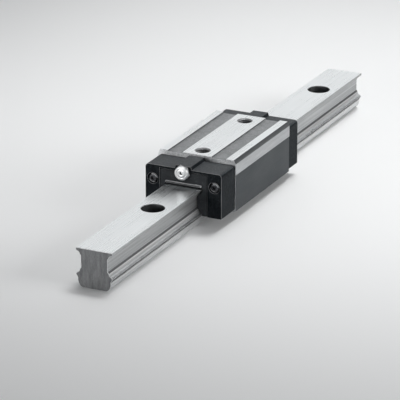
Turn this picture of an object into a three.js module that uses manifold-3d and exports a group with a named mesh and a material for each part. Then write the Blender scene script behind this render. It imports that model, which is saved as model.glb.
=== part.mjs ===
// A profiled rail guide: a steel rail with a ball-bearing carriage that slides along it.
// Millimetres, +Z up, +Y along the rail away from the grease nipple.
// The origin is at the middle of the rail's length, on the face it is bolted down by.
import * as THREE from "three";
import { mergeVertices } from "three/addons/utils/BufferGeometryUtils.js";
import Module from "manifold-3d";

// ---- Driving dimensions -------------------------------------------------

const gap = 0.3; // between pieces that touch on the real object

// Rail
const railLength = 335;
const railWidth = 22;
const railHeight = 22.4;
const railEdge = 0.35; // small bevel along the rail's top edges
const lipHeight = 0.9; // upright part of the rail's overhanging lip
const waistHalf = 8;
const waistTop = 18.3;
const waistBottom = 11.3;
const flareBottom = 7.4; // where the flare is at its widest
const footHalf = 9.9;
const footTop = 5.4;
const footInset = 3.3; // the foot's rounding, across
const footRise = 4.6; // and up
const railHolePitch = 75;
const railHoleCount = 4;
const railFirstHole = 70; // from the near end
const railBoltRadius = 3.5;
const counterboreRadius = 6.45;
const counterboreDepth = 9;

// Balls
const ballRadius = 1.98;
const ballPitch = 4.1;
const grooveDepth = 0.35; // how far a ball sits into the rail's slanted face
const grooveRadius = 2.08;
const returnX = 19; // centre of the return rows
const beadNeck = 0.7; // radius of the cage between two balls
const beadRadius = 0.85 * ballRadius; // each ball is a six-sided bead
const returnTubeOuter = 2.75;
const returnTubeInner = 2.15;

// Carriage block
const blockHalf = 24;
const blockTop = 35.62;
const blockBottom = 5;
const legChamfer = 0.4; // under each leg's outer edge
const blockFront = -41.88;
const blockBack = 31.19;
const landChamferX = 23.07; // where the top's outer chamfer starts
const bandTop = 33.33; // upper edge of the ground band on each side
const bandBottom = 26.85;
const sideInset = 0.15; // how far the rough side lies behind the ground band
const outerLandX = 17.98;
const centreLandX = 8.91;
const grooveFloor = 34.72;
const channelHalf = 11.8;
const channelTop = 23.1;
const legHalf = 13;
const pocketHalf = 15.3; // pocket in each leg for the raceway insert
const pocketTop = 21.1;
const pocketBottom = 7.9;
const tappedRadius = 3.7;
const tappedMouthRadius = 4.54;
const tappedMouthDepth = 0.9;
const tappedDepth = 9;
const tappedY = [-34.3, 21.7];

// Caps
const capHalf = 23.5;
const capTop = 32.67;
const capBottom = 6.3;
const capChamfer = 0.4; // under the cap's outer edges
const capCorner = 1.4;
const capChannelHalf = 11.9;
const capChannelTop = 23.7;
const frontCapDepth = 17.25;
const rearCapDepth = 12.25;
const bossHalf = 5.2;
const bossTop = 34.5;

// Ball guides, the turn-round pieces inside the caps
const guideInner = 12.4;
const guideOuter = 22.2;
const guideBottom = 7.7;
const guideTop = 21.4;
const guideDepth = 7.2;
const turnRadius = 2.1;

// Seals
const sealHalf = 14.4;
const sealTop = 30.9;
const sealThickness = 1.6;
const sealInset = 0.2; // how far the plate lies behind the cap's outer face
const sealRecess = 2.1;
const sealLipClearance = 0.35;
const sealRibHalf = 11.2; // the bar across the plate above the rail
const sealRibBottom = 23.2;
const sealRibTop = 24.6;
const sealRibProud = 0.5; // in front of the plate

// Cap screws
const screwX = 19;
const screwZ = 24.4;
const screwShankRadius = 1.45;
const screwHeadRadius = 2.75;
const screwHeadHeight = 2.6;
const screwPocketRadius = 3.3;
const screwPocketDepth = 3;
const screwGrip = 7; // thread in the block
const screwSocketRadius = 1.25;
const screwSocketDepth = 1.4;

// Grease nipple
const nippleZ = 30.9;
const nippleHeadRadius = 4.1;
const nippleProud = 3.2; // how far the head stands in front of the cap
const nippleHeadDepth = 1.5;
const nippleNeckRadius = 2.7;
const nippleHexRadius = 4.6;
const nippleStemRadius = 2.4;
const nippleLength = 12.5; // from the head's face to the end of the stem
const nippleMouth = 0.75;
const nippleBore = 1.3;
const nippleSeat = 0.7; // depth of the shoulder that the check ball closes against
const checkBallRadius = 1.05;
const checkBallDepth = 2; // of its centre, behind the head's face
const springInner = 0.6;
const springOuter = 1;
const springLength = 6;

// Grease port at the other end
const portRadius = 2.75; // of the hole through each cap
const plugRadius = 2.6;
const plugLength = 4.5;

// ---- Solids -------------------------------------------------------------

const wasm = await Module();
wasm.setup();

function solid(geometry) {
  const bare = geometry.clone();
  bare.deleteAttribute("normal");
  bare.deleteAttribute("uv");
  const merged = mergeVertices(bare, 1e-4);
  const corners = [];
  for (let i = 0; i < merged.index.count; i += 3) {
    const [a, b, c] = merged.index.array.subarray(i, i + 3);
    if (a !== b && b !== c && c !== a) corners.push(a, b, c);
  }
  return new wasm.Manifold(
    new wasm.Mesh({
      numProp: 3,
      vertProperties: new Float32Array(merged.attributes.position.array),
      triVerts: new Uint32Array(corners),
    }),
  );
}

function geometryOf(manifold) {
  const mesh = manifold.getMesh();
  const geometry = new THREE.BufferGeometry();
  geometry.setAttribute("position", new THREE.BufferAttribute(mesh.vertProperties, 3));
  geometry.setIndex(new THREE.BufferAttribute(mesh.triVerts, 1));
  geometry.computeVertexNormals();
  return geometry;
}

// A section drawn in X and Z, carried along Y from y0 to y1.
function alongY(points, y0, y1) {
  const shape = new THREE.Shape(points.map(([x, z]) => new THREE.Vector2(x, z)));
  const geometry = new THREE.ExtrudeGeometry(shape, { depth: y1 - y0, bevelEnabled: false });
  return solid(geometry.rotateX(Math.PI / 2).translate(0, y1, 0));
}

function box(x0, x1, y0, y1, z0, z1) {
  const geometry = new THREE.BoxGeometry(x1 - x0, y1 - y0, z1 - z0);
  return solid(geometry.translate((x0 + x1) / 2, (y0 + y1) / 2, (z0 + z1) / 2));
}

// A round piece with its axis along Z, between two heights.
function uprightCylinder(radius, x, y, z0, z1, sides, lowerRadius = radius) {
  const geometry = new THREE.CylinderGeometry(radius, lowerRadius, z1 - z0, sides);
  return solid(geometry.rotateX(Math.PI / 2).translate(x, y, (z0 + z1) / 2));
}

// A turned piece with its axis along Y. The profile is a list of [radius, distance along Y].
function turned(profile, sides) {
  const points = profile.map(([radius, along]) => new THREE.Vector2(radius, along));
  return solid(new THREE.LatheGeometry(points, sides));
}

function lyingCylinder(radius, x, z, y0, y1, sides) {
  const geometry = new THREE.CylinderGeometry(radius, radius, y1 - y0, sides);
  return solid(geometry.translate(x, (y0 + y1) / 2, z));
}

// Points on an arc about a centre, angles in degrees from +X towards +Z.
function arc([x, z], radius, from, to, steps) {
  return Array.from({ length: steps + 1 }, (_, i) => {
    const angle = THREE.MathUtils.degToRad(from + ((to - from) * i) / steps);
    return [x + radius * Math.cos(angle), z + radius * Math.sin(angle)];
  });
}

// The outline of a symmetric section from its right half, listed from the top to the bottom.
function mirrored(rightSide) {
  const leftSide = rightSide.map(([x, z]) => [-x, z]).reverse();
  return [...rightSide, ...leftSide];
}

function flip(points, side) {
  return side > 0 ? points : points.map(([x, z]) => [-x, z]).reverse();
}

// ---- Ball rows and the rail's slanted faces ------------------------------

const lipBottom = railHeight - railEdge - lipHeight;

// A slanted face from its outer to its inner end: the ball that runs on it and its groove.
function raceway(outer, inner, away) {
  const [dx, dz] = [inner[0] - outer[0], inner[1] - outer[1]];
  const length = Math.hypot(dx, dz);
  const normal = [(away * -dz) / length, (away * dx) / length];
  const reach = ballRadius - grooveDepth;
  const middle = [(outer[0] + inner[0]) / 2, (outer[1] + inner[1]) / 2];
  const ball = [middle[0] + reach * normal[0], middle[1] + reach * normal[1]];
  const facing = THREE.MathUtils.radToDeg(Math.atan2(-normal[1], -normal[0]));
  const spread = THREE.MathUtils.radToDeg(Math.acos(reach / grooveRadius));
  return { ball, facing, spread };
}

const upper = raceway([railWidth / 2, lipBottom], [waistHalf, waistTop], 1);
const lower = raceway([railWidth / 2, flareBottom], [waistHalf, waistBottom], -1);

// ---- Rail -----------------------------------------------------------------

function railSection() {
  const half = railWidth / 2;
  const rightSide = [
    [half - railEdge, railHeight],
    [half, railHeight - railEdge],
    [half, lipBottom],
    ...arc(upper.ball, grooveRadius, upper.facing - upper.spread, upper.facing + upper.spread, 4),
    [waistHalf, waistTop],
    [waistHalf, waistBottom],
    ...arc(lower.ball, grooveRadius, lower.facing - lower.spread, lower.facing + lower.spread, 4),
    [half, flareBottom],
    [footHalf, footTop],
    ...arc([0, 0], 1, 0, -90, 5).map(([u, v]) => [
      footHalf - footInset + footInset * u,
      footRise + footRise * v,
    ]),
  ];
  return mirrored(rightSide);
}

function rail() {
  const end = railLength / 2;
  let body = alongY(railSection(), -end, end);
  for (let i = 0; i < railHoleCount; i += 1) {
    const y = -end + railFirstHole + i * railHolePitch;
    body = body.subtract(uprightCylinder(railBoltRadius, 0, y, -1, railHeight, 16));
    body = body.subtract(
      uprightCylinder(counterboreRadius, 0, y, railHeight - counterboreDepth, railHeight + 1, 24),
    );
  }
  return body;
}

// ---- Carriage block ---------------------------------------------------------

function blockSection() {
  const side = blockHalf - sideInset;
  const outside = [
    [centreLandX, blockTop],
    [centreLandX, grooveFloor],
    [outerLandX, grooveFloor],
    [outerLandX, blockTop],
    [landChamferX, blockTop],
    [blockHalf, bandTop],
    [blockHalf, bandBottom],
    [side, bandBottom - sideInset],
    [side, blockBottom + legChamfer],
    [side - legChamfer, blockBottom],
  ];
  const inside = [
    [legHalf, blockBottom],
    [legHalf, pocketBottom],
    [pocketHalf, pocketBottom],
    [pocketHalf, pocketTop],
    [channelHalf, pocketTop],
    [channelHalf, channelTop],
  ];
  return mirrored([...outside, ...inside]);
}

function carriageBlock() {
  let body = alongY(blockSection(), blockFront, blockBack);
  for (const side of [-1, 1]) {
    for (const row of [upper, lower]) {
      const bore = returnTubeOuter + gap / 2;
      body = body.subtract(
        lyingCylinder(bore, side * returnX, row.ball[1], blockFront - 1, blockBack + 1, 12),
      );
    }
    for (const [y0, y1] of [
      [blockFront - 1, blockFront + screwGrip + 1],
      [blockBack - screwGrip - 1, blockBack + 1],
    ]) {
      const hole = screwShankRadius + gap / 2;
      body = body.subtract(lyingCylinder(hole, side * screwX, screwZ, y0, y1, 10));
    }
  }
  for (const y of tappedY) {
    const mouth = blockTop - tappedMouthDepth;
    body = body.subtract(uprightCylinder(tappedRadius, 0, y, blockTop - tappedDepth, blockTop, 20));
    body = body.subtract(
      uprightCylinder(tappedMouthRadius + 0.1, 0, y, mouth, blockTop + 0.1, 20, tappedRadius),
    );
  }
  return body;
}

// ---- Ball circuits ------------------------------------------------------------

// A straight row of balls joined by the cage, along Y from y0 to y1.
function ballRow(x, z, y0, y1) {
  const count = Math.floor((y1 - y0) / ballPitch);
  const start = (y0 + y1) / 2 - (count * ballPitch) / 2;
  const profile = [[0, y0 - 0.2], [beadNeck, y0 - 0.2], [beadNeck, start]];
  for (let i = 0; i < count; i += 1) {
    const middle = start + (i + 0.5) * ballPitch;
    profile.push([beadRadius, middle - beadRadius / 2]);
    profile.push([beadRadius, middle + beadRadius / 2]);
    profile.push([beadNeck, middle + ballPitch / 2]);
  }
  profile.push([beadNeck, y1 + 0.2], [0, y1 + 0.2]);
  return turned(profile, 6).translate([x, 0, z]);
}

// The half-round turn that joins a loaded row to its return row, past the block's face.
function ballTurn(x0, x1, z, y, outward, radius, sides) {
  const middle = (x0 + x1) / 2;
  const bend = (x1 - x0) / 2;
  const steps = 8;
  const points = Array.from({ length: steps + 1 }, (_, i) => {
    const angle = (Math.PI * i) / steps;
    const reach = Math.abs(bend) * Math.sin(angle);
    return new THREE.Vector3(middle - bend * Math.cos(angle), y + outward * reach, z);
  });
  const section = new THREE.Shape(
    arc([0, 0], radius, 0, 360, sides)
      .slice(1)
      .map(([u, v]) => new THREE.Vector2(u, v)),
  );
  const extrudePath = new THREE.CatmullRomCurve3(points);
  return solid(new THREE.ExtrudeGeometry(section, { extrudePath, steps, bevelEnabled: false }));
}

function ballCircuit(side, row) {
  const loaded = side * row.ball[0];
  const back = side * returnX;
  let body = ballRow(loaded, row.ball[1], blockFront, blockBack);
  body = body.add(ballRow(back, row.ball[1], blockFront, blockBack));
  body = body.add(ballTurn(loaded, back, row.ball[1], blockFront, -1, beadNeck, 6));
  body = body.add(ballTurn(loaded, back, row.ball[1], blockBack, 1, beadNeck, 6));
  return body;
}

function returnTube(side, row) {
  const outer = lyingCylinder(
    returnTubeOuter, side * returnX, row.ball[1], blockFront, blockBack, 12);
  const inner = lyingCylinder(
    returnTubeInner, side * returnX, row.ball[1], blockFront - 1, blockBack + 1, 8);
  return outer.subtract(inner);
}

// The hardened insert in each leg that the balls run against.
function racewayInsert(side) {
  const upperArc = arc(upper.ball, grooveRadius, -120, 0, 6);
  const lowerArc = arc(lower.ball, grooveRadius, 0, 120, 6);
  const outline = [
    ...upperArc,
    [upper.ball[0] + grooveRadius, pocketTop - gap],
    [pocketHalf - gap, pocketTop - gap],
    [pocketHalf - gap, pocketBottom + gap],
    [lower.ball[0] + grooveRadius, pocketBottom + gap],
    ...lowerArc,
  ];
  return alongY(flip(outline, side), blockFront + gap, blockBack - gap);
}

// The strip in the rail's waist that keeps the balls in when the carriage is off its rail.
function ballRetainer(side) {
  const outline = [[8.5, 12.8], [9.3, 12.4], [9.3, 16.6], [8.5, 16.2]];
  return alongY(flip(outline, side), blockFront + gap, blockBack - gap);
}

function bottomSeal(side) {
  const tip = 11.3;
  const outline = [
    [tip, blockBottom - 0.1],
    [legHalf - gap, blockBottom - 0.1],
    [legHalf - gap, pocketBottom - gap],
    [legHalf - 0.55, pocketBottom - gap],
    [tip + 0.1, blockBottom + 0.5],
  ];
  return alongY(flip(outline, side), blockFront + gap, blockBack - gap);
}

// ---- End caps -------------------------------------------------------------------

function capSection() {
  const cornerCentre = [capHalf - capCorner, capTop - capCorner];
  return mirrored([
    ...arc(cornerCentre, capCorner, 90, 0, 3),
    [capHalf, capBottom + capChamfer],
    [capHalf - capChamfer, capBottom],
    [capChannelHalf, capBottom],
    [capChannelHalf, capChannelTop],
  ]);
}

// The lower and the upper of two places along Y, for a piece that may face either way.
const ordered = (a, b) => [Math.min(a, b), Math.max(a, b)];

// An end cap between its inner face, next to the block, and its outer face.
function endCap(inner, outer, outward) {
  const past = outer + outward;
  const before = inner - outward;
  let body = alongY(capSection(), ...ordered(inner, outer));
  body = body.add(box(-bossHalf, bossHalf, ...ordered(inner, outer), capTop - 1, bossTop));
  const recess = ordered(past, outer - outward * sealRecess);
  body = body.subtract(
    box(-sealHalf - gap, sealHalf + gap, ...recess, capBottom - 1, sealTop + gap),
  );
  body = body.subtract(lyingCylinder(portRadius, 0, nippleZ, ...ordered(before, past), 16));
  for (const side of [-1, 1]) {
    const pocketX = ordered(side * (capChannelHalf - 1), side * (guideOuter + gap));
    const pocketY = ordered(before, inner + outward * guideDepth);
    body = body.subtract(box(...pocketX, ...pocketY, guideBottom - gap, guideTop + gap));
    const hole = screwShankRadius + gap / 2;
    const head = ordered(past, outer - outward * screwPocketDepth);
    body = body.subtract(
      lyingCylinder(hole, side * screwX, screwZ, ...ordered(before, past), 10),
    );
    body = body.subtract(lyingCylinder(screwPocketRadius, side * screwX, screwZ, ...head, 16));
  }
  return body;
}

// The turn-round piece in a cap that sends both rows of one side back through the block.
function ballGuide(side, blockFace, outward) {
  const reach = ordered(
    blockFace + outward * 2 * gap,
    blockFace + outward * (guideDepth - gap),
  );
  const width = ordered(side * guideInner, side * guideOuter);
  let body = box(...width, ...reach, guideBottom, guideTop);
  for (const row of [upper, lower]) {
    const [x, z] = [side * row.ball[0], row.ball[1]];
    body = body.subtract(
      ballTurn(x, side * returnX, z, blockFace, outward, turnRadius, 8),
    );
  }
  return body;
}

// A wiper plate that follows the rail's section with a small clearance, and carries a bar
// above the rail on its outer face.
function endSeal(face, outward) {
  const [y0, y1] = ordered(face, face - outward * sealThickness);
  const clear = sealLipClearance;
  const outside = [
    [sealHalf, sealTop],
    [sealHalf, capBottom + 0.2],
  ];
  const inside = [
    [footHalf + 1.1 + clear, capBottom + 0.2],
    [railWidth / 2 + clear, flareBottom + 0.1],
    [waistHalf + clear, waistBottom + 0.4],
    [waistHalf + clear, waistTop - 0.4],
    [railWidth / 2 + clear, lipBottom - 0.4],
    [railWidth / 2 + clear, railHeight + clear],
  ];
  const ribY = ordered(face - outward, face + outward * sealRibProud);
  const rib = box(-sealRibHalf, sealRibHalf, ...ribY, sealRibBottom, sealRibTop);
  const notch = lyingCylinder(portRadius + gap, 0, nippleZ, y0 - 1, y1 + 1, 16);
  return alongY(mirrored([...outside, ...inside]), y0, y1).add(rib).subtract(notch);
}

// ---- Fasteners and grease fittings --------------------------------------------------

// A socket head cap screw along Y, its shank starting at 0 and its head outwards.
function capScrew(shankLength) {
  const end = shankLength + screwHeadHeight;
  const outline = [
    [0, 0],
    [screwShankRadius, 0],
    [screwShankRadius, shankLength],
    [screwHeadRadius, shankLength],
    [screwHeadRadius, end - 0.3],
    [screwHeadRadius - 0.3, end],
    [0, end],
  ];
  const socket = lyingCylinder(screwSocketRadius, 0, 0, end - screwSocketDepth, end + 1, 6);
  return turned(outline, 12).subtract(socket);
}

function portPlug() {
  const outline = [
    [0, 0],
    [plugRadius, 0],
    [plugRadius, plugLength - 0.3],
    [plugRadius - 0.3, plugLength],
    [0, plugLength],
  ];
  const socket = lyingCylinder(screwSocketRadius, 0, 0, plugLength - 1.6, plugLength + 1, 6);
  return turned(outline, 12).subtract(socket);
}

// The nipple along Y, from the head's face backwards.
function greaseNipple() {
  const edge = 0.5;
  const outline = [
    [0, 0],
    [nippleHeadRadius - edge, 0],
    [nippleHeadRadius, edge],
    [nippleHeadRadius, nippleHeadDepth - edge],
    [nippleNeckRadius, nippleHeadDepth],
    [nippleStemRadius, nippleProud - 0.2],
    [nippleStemRadius, nippleLength],
    [0, nippleLength],
  ];
  const hex = lyingCylinder(nippleHexRadius, 0, 0, nippleHeadDepth, nippleProud - 0.2, 6);
  const mouth = lyingCylinder(nippleMouth, 0, 0, -1, nippleSeat + 0.1, 10);
  const bore = lyingCylinder(nippleBore, 0, 0, nippleSeat, nippleLength + 1, 12);
  return turned(outline, 20).add(hex).subtract(mouth).subtract(bore);
}

function checkBall() {
  return solid(new THREE.SphereGeometry(checkBallRadius, 8, 6));
}

// The envelope of the nipple's coil spring: a short sleeve along Y.
function nippleSpring() {
  const outline = [
    [springInner, 0],
    [springOuter, 0],
    [springOuter, springLength],
    [springInner, springLength],
    [springInner, 0],
  ];
  return turned(outline, 8);
}

// ---- Materials -----------------------------------------------------------------------

function material(color, roughness, metalness) {
  return new THREE.MeshStandardMaterial({ color, roughness, metalness });
}

const groundSteel = () => material(0xc9ced1, 0.32, 1);
const blackPlastic = () => material(0x1e2123, 0.5, 0);
const rubber = () => material(0x161719, 0.7, 0);
const blackScrew = () => material(0x2b2c2e, 0.4, 0.8);
const hardenedSteel = () => material(0xa9adb0, 0.28, 1);
const guidePlastic = () => material(0x3a5c46, 0.55, 0);
const brightMetal = () => material(0xe6e8ea, 0.2, 1);

function mesh(name, manifold, surface) {
  const piece = new THREE.Mesh(geometryOf(manifold), surface);
  piece.name = name;
  return piece;
}

// ---- Assembly ------------------------------------------------------------------------

const guideUnit = new THREE.Group();
const carriage = new THREE.Group();
guideUnit.add(mesh("rail", rail(), groundSteel()), carriage);

const frontCapInner = blockFront - gap;
const rearCapInner = blockBack + gap;
const frontCapFace = frontCapInner - frontCapDepth;
const rearCapFace = rearCapInner + rearCapDepth;
const frontSealFace = frontCapFace + sealInset;
const rearSealFace = rearCapFace - sealInset;
const frontSeal = endSeal(frontSealFace, -1);
const rearSeal = endSeal(rearSealFace, 1);
const frontCap = endCap(frontCapInner, frontCapFace, -1);
const rearCap = endCap(rearCapInner, rearCapFace, 1);

carriage.add(mesh("carriage_block", carriageBlock(), groundSteel()));
carriage.add(mesh("front_end_cap", frontCap, blackPlastic()));
carriage.add(mesh("rear_end_cap", rearCap, blackPlastic()));
carriage.add(mesh("front_end_seal", frontSeal, rubber()));
carriage.add(mesh("rear_end_seal", rearSeal, rubber()));

for (const [name, side] of [["left", -1], ["right", 1]]) {
  for (const [level, row] of [["upper", upper], ["lower", lower]]) {
    carriage.add(mesh(`ball_circuit_${level}_${name}`, ballCircuit(side, row), brightMetal()));
    carriage.add(mesh(`return_tube_${level}_${name}`, returnTube(side, row), guidePlastic()));
  }
  carriage.add(mesh(`raceway_insert_${name}`, racewayInsert(side), hardenedSteel()));
  carriage.add(mesh(`ball_retainer_${name}`, ballRetainer(side), guidePlastic()));
  carriage.add(mesh(`bottom_seal_${name}`, bottomSeal(side), rubber()));
  carriage.add(mesh(`front_ball_guide_${name}`, ballGuide(side, blockFront, -1), guidePlastic()));
  carriage.add(mesh(`rear_ball_guide_${name}`, ballGuide(side, blockBack, 1), guidePlastic()));
}

// A cap screw starts in the block and ends with its head on the floor of the cap's pocket.
const screwStart = screwGrip - gap;
for (const [end, blockFace, capDepth, turn] of [
  ["front", blockFront, frontCapDepth, Math.PI],
  ["rear", blockBack, rearCapDepth, 0],
]) {
  const shank = screwStart + 2 * gap + capDepth - screwPocketDepth;
  const inward = end === "front" ? 1 : -1;
  for (const [name, side] of [["left", -1], ["right", 1]]) {
    const screw = mesh(`${end}_cap_screw_${name}`, capScrew(shank), blackScrew());
    screw.rotation.z = turn;
    screw.position.set(side * screwX, blockFace + inward * screwStart, screwZ);
    carriage.add(screw);
  }
}

const rearPlug = mesh("rear_port_plug", portPlug(), blackScrew());
rearPlug.position.set(0, rearCapFace - gap - plugLength, nippleZ);
carriage.add(rearPlug);

// The fitting at the near end: nipple, and the sprung ball that shuts it.
const fitting = new THREE.Group();
const spring = mesh("nipple_spring", nippleSpring(), brightMetal());
spring.position.y = checkBallDepth + checkBallRadius + gap / 2;
const ball = mesh("nipple_check_ball", checkBall(), brightMetal());
ball.position.y = checkBallDepth;
fitting.add(mesh("grease_nipple", greaseNipple(), brightMetal()), ball, spring);
fitting.position.set(0, frontCapFace - nippleProud, nippleZ);
carriage.add(fitting);

export default guideUnit;
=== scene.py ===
"""A linear guide: a ground profile rail with its ball-bearing carriage, in metres, in the CAD frame.

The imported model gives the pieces' places and outer sizes. The pieces that show are rebuilt here with
finer edges, round grooves and machined or moulded surfaces, and ride on the CAD bodies that they belong
to. The inner pieces keep their CAD shapes.
"""

import math

import bmesh
import bpy
from mathutils import Matrix, Vector


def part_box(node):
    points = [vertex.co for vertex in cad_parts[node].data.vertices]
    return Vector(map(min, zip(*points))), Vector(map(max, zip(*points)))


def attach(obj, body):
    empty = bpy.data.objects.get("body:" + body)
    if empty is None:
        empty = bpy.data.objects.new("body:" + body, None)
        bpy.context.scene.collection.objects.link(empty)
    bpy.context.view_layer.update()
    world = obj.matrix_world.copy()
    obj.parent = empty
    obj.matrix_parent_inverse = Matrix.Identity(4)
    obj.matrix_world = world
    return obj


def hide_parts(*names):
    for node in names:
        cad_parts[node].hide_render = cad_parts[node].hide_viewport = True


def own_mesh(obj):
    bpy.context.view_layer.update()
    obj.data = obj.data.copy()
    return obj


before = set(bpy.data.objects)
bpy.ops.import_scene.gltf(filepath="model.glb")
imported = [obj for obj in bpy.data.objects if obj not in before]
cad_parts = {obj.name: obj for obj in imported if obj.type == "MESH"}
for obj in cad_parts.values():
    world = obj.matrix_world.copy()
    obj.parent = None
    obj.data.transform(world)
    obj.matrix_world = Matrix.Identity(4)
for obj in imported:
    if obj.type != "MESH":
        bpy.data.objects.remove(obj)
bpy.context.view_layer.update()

MM = 0.001
CLOSE = 0.01 * MM  # two places nearer than this are the same
OVER = 1 * MM  # how far a cutting tool passes the surface that it enters by
FINE = 0.3 * MM  # usual running clearance and width of a broken edge


# ---- Node helpers --------------------------------------------------------------------------------


class Nodes:
    """A small builder for one material's node tree."""

    def __init__(self, name):
        self.material = bpy.data.materials.new(name)
        self.material.use_nodes = True
        self.tree = self.material.node_tree
        self.shader = self.tree.nodes["Principled BSDF"]
        self.coords = self.tree.nodes.new("ShaderNodeTexCoord").outputs["Object"]

    def link(self, source, target):
        self.tree.links.new(source, target)

    def set(self, **values):
        for key, value in values.items():
            self.shader.inputs[key.replace("_", " ")].default_value = value

    def noise(self, scale, detail=4.0, roughness=0.55):
        """Noise whose grains are scale = (x, y, z) metres long."""
        mapping = self.tree.nodes.new("ShaderNodeMapping")
        mapping.inputs["Scale"].default_value = [1 / s for s in scale]
        self.link(self.coords, mapping.inputs["Vector"])
        noise = self.tree.nodes.new("ShaderNodeTexNoise")
        noise.inputs["Scale"].default_value = 1.0
        noise.inputs["Detail"].default_value = detail
        noise.inputs["Roughness"].default_value = roughness
        self.link(mapping.outputs["Vector"], noise.inputs["Vector"])
        return noise.outputs["Fac"]

    def ramp(self, value, low, high, to_low, to_high):
        node = self.tree.nodes.new("ShaderNodeMapRange")
        for socket, number in zip(("From Min", "From Max", "To Min", "To Max"),
                                  (low, high, to_low, to_high)):
            node.inputs[socket].default_value = number
        self.link(value, node.inputs["Value"])
        return node.outputs["Result"]

    def math(self, operation, a, b):
        node = self.tree.nodes.new("ShaderNodeMath")
        node.operation = operation
        for socket, value in zip(node.inputs, (a, b)):
            if isinstance(value, (int, float)):
                socket.default_value = value
            else:
                self.link(value, socket)
        return node.outputs["Value"]

    def mix(self, factor, first, second):
        node = self.tree.nodes.new("ShaderNodeMix")
        node.data_type = "RGBA"
        self.link(factor, node.inputs["Factor"])
        for socket, value in ((node.inputs["A"], first), (node.inputs["B"], second)):
            if isinstance(value, tuple):
                socket.default_value = (*value, 1.0)
            else:
                self.link(value, socket)
        return node.outputs["Result"]

    def bump(self, height, distance, strength=1.0, before=None):
        node = self.tree.nodes.new("ShaderNodeBump")
        node.inputs["Distance"].default_value = distance
        node.inputs["Strength"].default_value = strength
        self.link(height, node.inputs["Height"])
        if before is not None:
            self.link(before, node.inputs["Normal"])
        return node.outputs["Normal"]


def machined(name, dark, light, roughness, grain, depth, streak=0.35, metallic=1.0):
    """Ground, drawn or cut metal. grain = the length in metres of its marks along X, Y and Z."""
    n = Nodes(name)
    fine = n.noise(grain, 6.0, 0.65)
    wide = n.noise([6 * g for g in grain], 3.0)
    smear = n.noise((14 * MM, 38 * MM, 14 * MM), 5.0, 0.6)
    tone = n.math("ADD", n.math("MULTIPLY", fine, 1 - streak), n.math("MULTIPLY", wide, streak))
    colour = n.mix(n.ramp(tone, 0.32, 0.68, 0.0, 1.0), dark, light)
    n.link(colour, n.shader.inputs["Base Color"])
    oily = n.ramp(smear, 0.3, 0.7, -0.06, 0.07)
    rough = n.math("ADD", n.ramp(tone, 0.3, 0.7, roughness - 0.05, roughness + 0.07), oily)
    n.link(rough, n.shader.inputs["Roughness"])
    n.link(n.bump(fine, depth), n.shader.inputs["Normal"])
    n.set(Metallic=metallic)
    return n.material


def moulded(name, dark, light, roughness, grain, depth, gloss):
    """Moulded plastic or rubber with a fine grain, faint flow marks and scattered pale specks."""
    n = Nodes(name)
    fine = n.noise((grain, grain, grain), 3.0)
    flow = n.noise((9 * MM, 15 * MM, 6 * MM), 5.0, 0.6)
    speck_noise = n.noise((1.3 * MM, 1.3 * MM, 1.3 * MM), 6.0, 0.7)
    tone = n.math("ADD", n.math("MULTIPLY", fine, 0.55), n.math("MULTIPLY", flow, 0.45))
    colour = n.mix(n.ramp(tone, 0.40, 0.60, 0.0, 1.0), dark, light)
    specks = n.ramp(speck_noise, 0.56, 0.68, 0.0, 0.45)
    pale = tuple(min(1.0, 2.4 * c + 0.01) for c in light)
    n.link(n.mix(specks, colour, pale), n.shader.inputs["Base Color"])
    n.link(n.ramp(flow, 0.3, 0.7, roughness - 0.05, roughness + 0.08), n.shader.inputs["Roughness"])
    n.link(n.bump(fine, depth), n.shader.inputs["Normal"])
    n.set(Metallic=0.0, Specular_IOR_Level=gloss)
    return n.material


def polished(name, dark, light, roughness):
    """Plated or polished metal with a soft haze and hairline scratches."""
    n = Nodes(name)
    haze = n.noise((1.1 * MM, 1.1 * MM, 1.1 * MM), 5.0, 0.6)
    hair = n.noise((0.05 * MM, 0.6 * MM, 0.05 * MM), 3.0)
    n.link(n.mix(n.ramp(haze, 0.3, 0.7, 0.0, 1.0), dark, light), n.shader.inputs["Base Color"])
    n.link(n.ramp(haze, 0.3, 0.7, roughness - 0.04, roughness + 0.06), n.shader.inputs["Roughness"])
    n.link(n.bump(hair, 0.004 * MM), n.shader.inputs["Normal"])
    n.set(Metallic=1.0)
    return n.material


# ---- Materials -----------------------------------------------------------------------------------

# Lengths of a surface's marks along X, Y and Z.
LENGTHWISE = (0.22 * MM, 45 * MM, 0.22 * MM)
BRUSHED = (0.35 * MM, 9 * MM, 0.35 * MM)
UPRIGHT = (0.24 * MM, 0.24 * MM, 1.5 * MM)
EVEN = (0.5 * MM, 0.5 * MM, 0.5 * MM)
COARSE = (0.9 * MM, 0.9 * MM, 0.9 * MM)

GROUND = machined("ground_steel", (0.72, 0.74, 0.75), (0.84, 0.86, 0.86), 0.27, LENGTHWISE, 0.002 * MM)
RAIL_SIDE = machined("rail_side_steel", (0.19, 0.195, 0.20), (0.62, 0.63, 0.635), 0.40, LENGTHWISE,
                     0.008 * MM, 0.4, 0.75)
RACEWAY = machined("raceway_steel", (0.40, 0.405, 0.41), (0.84, 0.85, 0.855), 0.36, LENGTHWISE,
                   0.006 * MM, 0.5, 0.7)
# Painted shade: a dark steel for the rail's creases.
CREASE_SHADE = machined("crease_painted_shade", (0.06, 0.062, 0.064), (0.16, 0.163, 0.167), 0.45, LENGTHWISE,
                  0.006 * MM, 0.5, 0.6)
SAW_CUT = machined("saw_cut_steel", (0.09, 0.093, 0.097), (0.27, 0.275, 0.28), 0.5, UPRIGHT,
                   0.03 * MM, 0.5, 0.5)
# Painted shade: a dark steel for the inside of the rail's holes.
BORE_SHADE = machined("drilled_bore_painted_shade", (0.05, 0.052, 0.054), (0.20, 0.205, 0.21), 0.5, EVEN, 0.02 * MM)
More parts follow.
